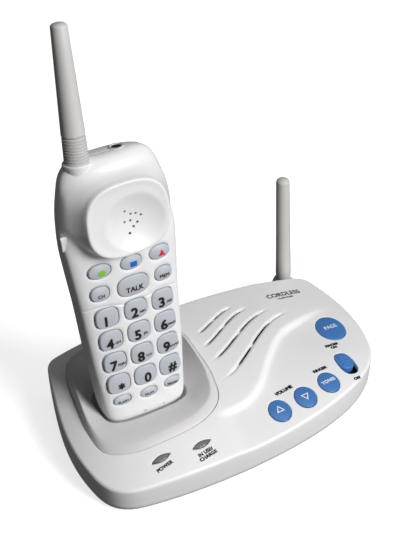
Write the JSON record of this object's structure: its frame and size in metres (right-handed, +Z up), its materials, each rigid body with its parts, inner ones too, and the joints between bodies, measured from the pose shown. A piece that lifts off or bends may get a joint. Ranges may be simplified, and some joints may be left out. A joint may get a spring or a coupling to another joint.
{
  "type": "cordless phone with base",
  "caption": "Cordless telephone handset with big keys and stub antenna, standing in the cradle of a charging base with control buttons, loudspeaker slots and its own antenna.",
  "frame": {"origin": "on the table, under the middle of the bounding box of handset and base together", "axes": "+Z up, +X to the user's right along the base, +Y to the back of the base"},
  "size_m": [0.2028, 0.1282, 0.2466],
  "materials": {
    "white_shell": "satin moulded plastic",
    "cradle_plastic": "satin moulded plastic",
    "grey_key": "satin silicone rubber",
    "blue_button": "semi-gloss moulded plastic",
    "antenna_rubber": "satin moulded rubber",
    "lamp_lens": "polished smoked plastic",
    "socket_plastic": "moulded black plastic",
    "foot_rubber": "matte rubber",
    "circuit_board": "lacquered glass-fibre board",
    "battery_wrap": "shrink wrap",
    "gold_contact": "plated spring metal",
    "plain_steel": "zinc plated",
    "speaker_cone": "coated paper cone"
  },
  "bodies": {
    "base": {"base_top_shell": "white_shell", "base_bottom_shell": "white_shell", "rubber_foot_1": "foot_rubber", "rubber_foot_2": "foot_rubber", "rubber_foot_3": "foot_rubber", "rubber_foot_4": "foot_rubber", "base_screw_1": "plain_steel", "base_screw_2": "plain_steel", "cradle_insert": "cradle_plastic", "cradle_contact_1": "gold_contact", "cradle_contact_2": "gold_contact", "base_circuit_board": "circuit_board", "loudspeaker": "speaker_cone", "power_lamp_lens": "lamp_lens", "in_use_lamp_lens": "lamp_lens", "line_jack": "socket_plastic", "power_jack": "socket_plastic", "antenna_pivot": "antenna_rubber"},
    "handset": {"handset_front_shell": "white_shell", "handset_back_shell": "white_shell", "battery_pack": "battery_wrap", "handset_circuit_board": "circuit_board", "keypad_membrane": "foot_rubber", "earpiece_receiver": "speaker_cone", "microphone": "plain_steel", "handset_contact_1": "gold_contact", "handset_contact_2": "gold_contact", "headset_jack": "socket_plastic", "handset_antenna_boot": "antenna_rubber", "handset_antenna": "antenna_rubber"},
    "battery_door": {"battery_door": "white_shell"},
    "side_button": {"side_button": "grey_key"},
    "page_button": {"page_button": "blue_button"},
    "ringer_tone_button": {"ringer_tone_button": "blue_button"},
    "volume_down_button": {"volume_down_button": "blue_button"},
    "volume_up_button": {"volume_up_button": "blue_button"},
    "ringer_switch_knob": {"ringer_switch_knob": "blue_button"},
    "base_antenna": {"base_antenna": "antenna_rubber"},
    "key_1": {"key_1": "grey_key"},
    "key_2": {"key_2": "grey_key"},
    "key_3": {"key_3": "grey_key"},
    "key_4": {"key_4": "grey_key"},
    "key_5": {"key_5": "grey_key"},
    "key_6": {"key_6": "grey_key"},
    "key_7": {"key_7": "grey_key"},
    "key_8": {"key_8": "grey_key"},
    "key_9": {"key_9": "grey_key"},
    "key_star": {"key_star": "grey_key"},
    "key_0": {"key_0": "grey_key"},
    "key_hash": {"key_hash": "grey_key"},
    "key_talk": {"key_talk": "grey_key"},
    "key_channel": {"key_channel": "grey_key"},
    "key_memory": {"key_memory": "grey_key"},
    "key_boost_green": {"key_boost_green": "grey_key"},
    "key_boost_blue": {"key_boost_blue": "grey_key"},
    "key_boost_red": {"key_boost_red": "grey_key"},
    "key_flash": {"key_flash": "grey_key"},
    "key_mute": {"key_mute": "grey_key"},
    "key_redial": {"key_redial": "grey_key"}
  },
  "joints": [
    {"name": "handset_lift", "type": "slide", "parent": "base", "child": "handset", "axis": [0, 0.175, 0.9846], "range_m": [0, 0.12]},
    {"name": "key_1_press", "type": "slide", "parent": "handset", "child": "key_1", "axis": [0, 0.9846, -0.175], "range_m": [0, 0.0012], "stiffness_N_per_m": 300},
    {"name": "key_2_press", "type": "slide", "parent": "handset", "child": "key_2", "axis": [0, 0.9846, -0.175], "range_m": [0, 0.0012], "stiffness_N_per_m": 300},
    {"name": "key_3_press", "type": "slide", "parent": "handset", "child": "key_3", "axis": [0, 0.9846, -0.175], "range_m": [0, 0.0012], "stiffness_N_per_m": 300},
    {"name": "key_4_press", "type": "slide", "parent": "handset", "child": "key_4", "axis": [0, 0.9846, -0.175], "range_m": [0, 0.0012], "stiffness_N_per_m": 300},
    {"name": "key_5_press", "type": "slide", "parent": "handset", "child": "key_5", "axis": [0, 0.9846, -0.175], "range_m": [0, 0.0012], "stiffness_N_per_m": 300},
    {"name": "key_6_press", "type": "slide", "parent": "handset", "child": "key_6", "axis": [0, 0.9846, -0.175], "range_m": [0, 0.0012], "stiffness_N_per_m": 300},
    {"name": "key_7_press", "type": "slide", "parent": "handset", "child": "key_7", "axis": [0, 0.9846, -0.175], "range_m": [0, 0.0012], "stiffness_N_per_m": 300},
    {"name": "key_8_press", "type": "slide", "parent": "handset", "child": "key_8", "axis": [0, 0.9846, -0.175], "range_m": [0, 0.0012], "stiffness_N_per_m": 300},
    {"name": "key_9_press", "type": "slide", "parent": "handset", "child": "key_9", "axis": [0, 0.9846, -0.175], "range_m": [0, 0.0012], "stiffness_N_per_m": 300},
    {"name": "key_star_press", "type": "slide", "parent": "handset", "child": "key_star", "axis": [0, 0.9846, -0.175], "range_m": [0, 0.0012], "stiffness_N_per_m": 300},
    {"name": "key_0_press", "type": "slide", "parent": "handset", "child": "key_0", "axis": [0, 0.9846, -0.175], "range_m": [0, 0.0012], "stiffness_N_per_m": 300},
    {"name": "key_hash_press", "type": "slide", "parent": "handset", "child": "key_hash", "axis": [0, 0.9846, -0.175], "range_m": [0, 0.0012], "stiffness_N_per_m": 300},
    {"name": "key_talk_press", "type": "slide", "parent": "handset", "child": "key_talk", "axis": [0, 0.9846, -0.175], "range_m": [0, 0.0012], "stiffness_N_per_m": 300},
    {"name": "key_channel_press", "type": "slide", "parent": "handset", "child": "key_channel", "axis": [0, 0.9846, -0.175], "range_m": [0, 0.0012], "stiffness_N_per_m": 300},
    {"name": "key_memory_press", "type": "slide", "parent": "handset", "child": "key_memory", "axis": [0, 0.9846, -0.175], "range_m": [0, 0.0012], "stiffness_N_per_m": 300},
    {"name": "key_boost_green_press", "type": "slide", "parent": "handset", "child": "key_boost_green", "axis": [0, 0.9846, -0.175], "range_m": [0, 0.0012], "stiffness_N_per_m": 300},
    {"name": "key_boost_blue_press", "type": "slide", "parent": "handset", "child": "key_boost_blue", "axis": [0, 0.9846, -0.175], "range_m": [0, 0.0012], "stiffness_N_per_m": 300},
    {"name": "key_boost_red_press", "type": "slide", "parent": "handset", "child": "key_boost_red", "axis": [0, 0.9846, -0.175], "range_m": [0, 0.0012], "stiffness_N_per_m": 300},
    {"name": "key_flash_press", "type": "slide", "parent": "handset", "child": "key_flash", "axis": [0, 0.9846, -0.175], "range_m": [0, 0.0012], "stiffness_N_per_m": 300},
    {"name": "key_mute_press", "type": "slide", "parent": "handset", "child": "key_mute", "axis": [0, 0.9846, -0.175], "range_m": [0, 0.0012], "stiffness_N_per_m": 300},
    {"name": "key_redial_press", "type": "slide", "parent": "handset", "child": "key_redial", "axis": [0, 0.9846, -0.175], "range_m": [0, 0.0012], "stiffness_N_per_m": 300},
    {"name": "side_button_press", "type": "slide", "parent": "handset", "child": "side_button", "axis": [1, 0, 0], "range_m": [0, 0.0008], "stiffness_N_per_m": 300},
    {"name": "battery_door_unclip", "type": "slide", "parent": "handset", "child": "battery_door", "axis": [0, 0.9846, -0.175], "range_m": [0, 0.008]},
    {"name": "page_button_press", "type": "slide", "parent": "base", "child": "page_button", "axis": [-0.1753, 0.0497, -0.9833], "range_m": [0, 0.001], "stiffness_N_per_m": 400},
    {"name": "ringer_tone_button_press", "type": "slide", "parent": "base", "child": "ringer_tone_button", "axis": [-0.0465, 0.1787, -0.9828], "range_m": [0, 0.001], "stiffness_N_per_m": 400},
    {"name": "volume_down_button_press", "type": "slide", "parent": "base", "child": "volume_down_button", "axis": [0.0065, 0.1915, -0.9815], "range_m": [0, 0.001], "stiffness_N_per_m": 400},
    {"name": "volume_up_button_press", "type": "slide", "parent": "base", "child": "volume_up_button", "axis": [0.0119, 0.2117, -0.9773], "range_m": [0, 0.001], "stiffness_N_per_m": 400},
    {"name": "ringer_switch_slide", "type": "slide", "parent": "base", "child": "ringer_switch_knob", "axis": [-0.018, -0.9913, -0.1306], "range_m": [0, 0.0041]},
    {"name": "base_antenna_tilt", "type": "hinge", "parent": "base", "child": "base_antenna", "pos_m": [0.08472, 0.0591, 0.0155], "axis": [0, 1, 0], "range_deg": [-85, 45]}
  ]
}
